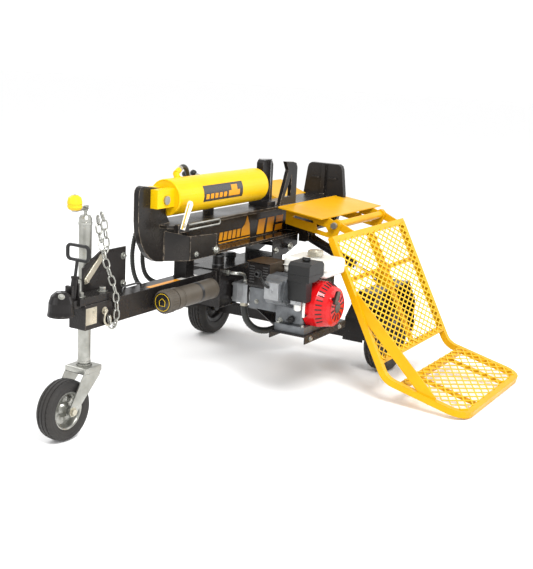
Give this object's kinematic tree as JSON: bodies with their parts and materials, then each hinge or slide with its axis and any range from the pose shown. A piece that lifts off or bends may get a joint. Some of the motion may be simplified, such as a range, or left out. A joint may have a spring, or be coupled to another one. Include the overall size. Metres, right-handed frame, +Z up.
{
  "type": "log splitter",
  "caption": "Towable hydraulic log splitter: engine and pump on a drawbar chassis, I-beam with ram and wedge, side table and hydraulic log lifter.",
  "frame": {"origin": "bottom centre of the bounding box without cords, at ground level", "axes": "+X along the splitting beam towards the foot plate, +Y away from the engine and log lifter, +Z up"},
  "size_m": [2.023, 1.6478, 0.9752],
  "materials": {
    "black_paint": "gloss black enamel",
    "yellow_paint": "gloss yellow enamel",
    "zinc": "zinc plated",
    "chrome": "ground and hard chromed",
    "tyre_rubber": "black rubber",
    "hose_rubber": "black rubber",
    "cast_alloy": "die cast",
    "red_paint": "gloss red enamel",
    "white_paint": "gloss cream enamel",
    "black_plastic": "moulded",
    "drab_plastic": "moulded",
    "yellow_plastic": "moulded"
  },
  "bodies": {
    "frame": {"tongue": "black_paint", "coupler_body": "black_paint", "hydraulic_tank": "black_paint", "axle_frame": "black_paint", "rear_bracket": "black_paint", "fender_near": "black_paint", "fender_far": "black_paint", "beam": "black_paint", "nose_plate": "black_paint", "foot_plate": "black_paint", "valve_body": "black_paint", "engine_deck": "black_paint", "muffler": "black_paint", "cylinder_barrel": "yellow_paint", "table_near": "yellow_paint", "table_far": "yellow_paint", "jockey_clamp": "zinc", "jockey_tube": "zinc", "safety_chain": "zinc", "cylinder_pin": "zinc", "hinge_rod": "zinc", "u_handle": "zinc", "pressure_hose": "hose_rubber", "return_hose": "hose_rubber", "ram_hose": "hose_rubber", "suction_hose": "hose_rubber", "engine_block": "cast_alloy", "pump": "cast_alloy", "fan_cover": "red_paint", "fuel_tank": "white_paint", "air_cleaner": "black_plastic", "canister": "drab_plastic"},
    "coupler_plunger": {"coupler_plunger": "black_plastic"},
    "jockey_leg": {"jockey_leg": "zinc"},
    "jockey_crank": {"jockey_crank": "zinc"},
    "crank_knob": {"crank_knob": "yellow_plastic"},
    "jockey_fork": {"jockey_fork": "zinc"},
    "jockey_wheel": {"jockey_rim": "zinc", "jockey_tyre": "tyre_rubber"},
    "clamp_lever": {"clamp_lever": "zinc"},
    "canister_cap": {"canister_cap": "drab_plastic"},
    "filler_cap": {"filler_cap": "black_plastic"},
    "fuel_cap": {"fuel_cap": "black_plastic"},
    "oil_cap": {"oil_cap": "black_plastic"},
    "near_wheel": {"near_rim": "black_paint", "near_tyre": "tyre_rubber"},
    "far_wheel": {"far_rim": "black_paint", "far_tyre": "tyre_rubber"},
    "ram": {"ram_rod": "chrome", "wedge": "black_paint"},
    "ram_lever": {"ram_lever": "zinc"},
    "lift_lever": {"lift_lever": "zinc"},
    "tag_lever": {"tag_lever": "white_paint"},
    "lifter": {"lifter_frame": "yellow_paint", "lifter_mesh": "yellow_paint", "tray_mesh": "yellow_paint"},
    "lift_barrel": {"lift_barrel": "black_paint"},
    "lift_rod": {"lift_rod": "chrome"},
    "recoil_grip": {"recoil_grip": "black_plastic"},
    "throttle_lever": {"throttle_lever": "white_paint"}
  },
  "joints": [
    {"name": "coupler_plunger_pull", "type": "slide", "parent": "frame", "child": "coupler_plunger", "axis": [0.1644, 0, 0.9864], "range_m": [0, 0.018], "stiffness_N_per_m": 900, "springref_m": -0.004},
    {"name": "jockey_leg_slide", "type": "slide", "parent": "frame", "child": "jockey_leg", "axis": [0, 0, -1], "range_m": [0, 0.15]},
    {"name": "jockey_crank_turn", "type": "hinge", "parent": "frame", "child": "jockey_crank", "pos_m": [-0.7615, 0.33595, 0.795], "axis": [0, 0, -1], "range_deg": [0, 10801]},
    {"name": "crank_knob_spin", "type": "hinge", "parent": "jockey_crank", "child": "crank_knob", "pos_m": [-0.8365, 0.32095, 0.8546], "axis": [0, 0, 1], "continuous": true},
    {"name": "jockey_swivel", "type": "hinge", "parent": "jockey_leg", "child": "jockey_fork", "pos_m": [-0.7615, 0.33595, 0.262], "axis": [0, 0, 1], "continuous": true},
    {"name": "jockey_wheel_roll", "type": "hinge", "parent": "jockey_fork", "child": "jockey_wheel", "pos_m": [-0.8735, 0.33595, 0.115], "axis": [0, 1, 0], "continuous": true},
    {"name": "clamp_lever_turn", "type": "hinge", "parent": "frame", "child": "clamp_lever", "pos_m": [-0.7935, 0.30195, 0.592], "axis": [0, -1, 0], "range_deg": [0, 70]},
    {"name": "canister_cap_turn", "type": "hinge", "parent": "frame", "child": "canister_cap", "pos_m": [-0.4935, 0.17795, 0.477], "axis": [-1, 0, 0], "range_deg": [0, 90]},
    {"name": "filler_cap_turn", "type": "hinge", "parent": "frame", "child": "filler_cap", "pos_m": [0.1665, 0.29795, 0.545], "axis": [0, 0, 1], "range_deg": [0, 90]},
    {"name": "fuel_cap_turn", "type": "hinge", "parent": "frame", "child": "fuel_cap", "pos_m": [0.1365, -0.14205, 0.618], "axis": [0, 0, 1], "range_deg": [0, 90]},
    {"name": "oil_cap_turn", "type": "hinge", "parent": "frame", "child": "oil_cap", "pos_m": [-0.019, -0.13205, 0.372], "axis": [-1, 0, 0], "range_deg": [0, 90]},
    {"name": "near_wheel_roll", "type": "hinge", "parent": "frame", "child": "near_wheel", "pos_m": [0.7265, -0.23205, 0.15], "axis": [0, 1, 0], "continuous": true},
    {"name": "far_wheel_roll", "type": "hinge", "parent": "frame", "child": "far_wheel", "pos_m": [0.7265, 0.76795, 0.15], "axis": [0, 1, 0], "continuous": true},
    {"name": "ram_slide", "type": "slide", "parent": "frame", "child": "ram", "axis": [1, 0, 0], "range_m": [0, 0.49]},
    {"name": "ram_lever_tilt", "type": "hinge", "parent": "frame", "child": "ram_lever", "pos_m": [0.0115, 0.38295, 0.8968], "axis": [0, 1, 0], "range_deg": [-18, 18], "stiffness_Nm_per_rad": 2},
    {"name": "lift_lever_tilt", "type": "hinge", "parent": "frame", "child": "lift_lever", "pos_m": [0.0715, 0.38295, 0.8968], "axis": [0, 1, 0], "range_deg": [-18, 18], "stiffness_Nm_per_rad": 2},
    {"name": "tag_lever_turn", "type": "hinge", "parent": "frame", "child": "tag_lever", "pos_m": [-0.3765, 0.17295, 0.764], "axis": [0, 1, 0], "range_deg": [0, 60]},
    {"name": "lifter_swing", "type": "hinge", "parent": "frame", "child": "lifter", "pos_m": [0.6265, -0.06705, 0.7], "axis": [-1, 0, 0], "range_deg": [0, 60]},
    {"name": "lift_barrel_turn", "type": "hinge", "parent": "frame", "child": "lift_barrel", "pos_m": [0.6265, 0.15795, 0.6], "axis": [-1, 0, 0], "range_deg": [0, 33.88]},
    {"name": "lift_rod_slide", "type": "slide", "parent": "lift_barrel", "child": "lift_rod", "axis": [0, -0.9288, -0.3706], "range_m": [0, 0.1223]},
    {"name": "recoil_pull", "type": "slide", "parent": "frame", "child": "recoil_grip", "axis": [-0.4494, -0.799, 0.3995], "range_m": [0, 0.3], "stiffness_N_per_m": 30, "springref_m": -0.15},
    {"name": "throttle_turn", "type": "hinge", "parent": "frame", "child": "throttle_lever", "pos_m": [-0.0435, -0.19705, 0.4], "axis": [1, 0, 0], "range_deg": [0, 45]}
  ],
  "couplings": [
    {"joint": "jockey_crank_turn", "follows": "jockey_leg_slide", "rad_per_m": 1256.6},
    {"joint": "lift_barrel_turn", "follows": "lifter_swing", "ratio": 0.5638},
    {"joint": "lift_rod_slide", "follows": "lifter_swing", "m_per_rad": 0.1163}
  ]
}
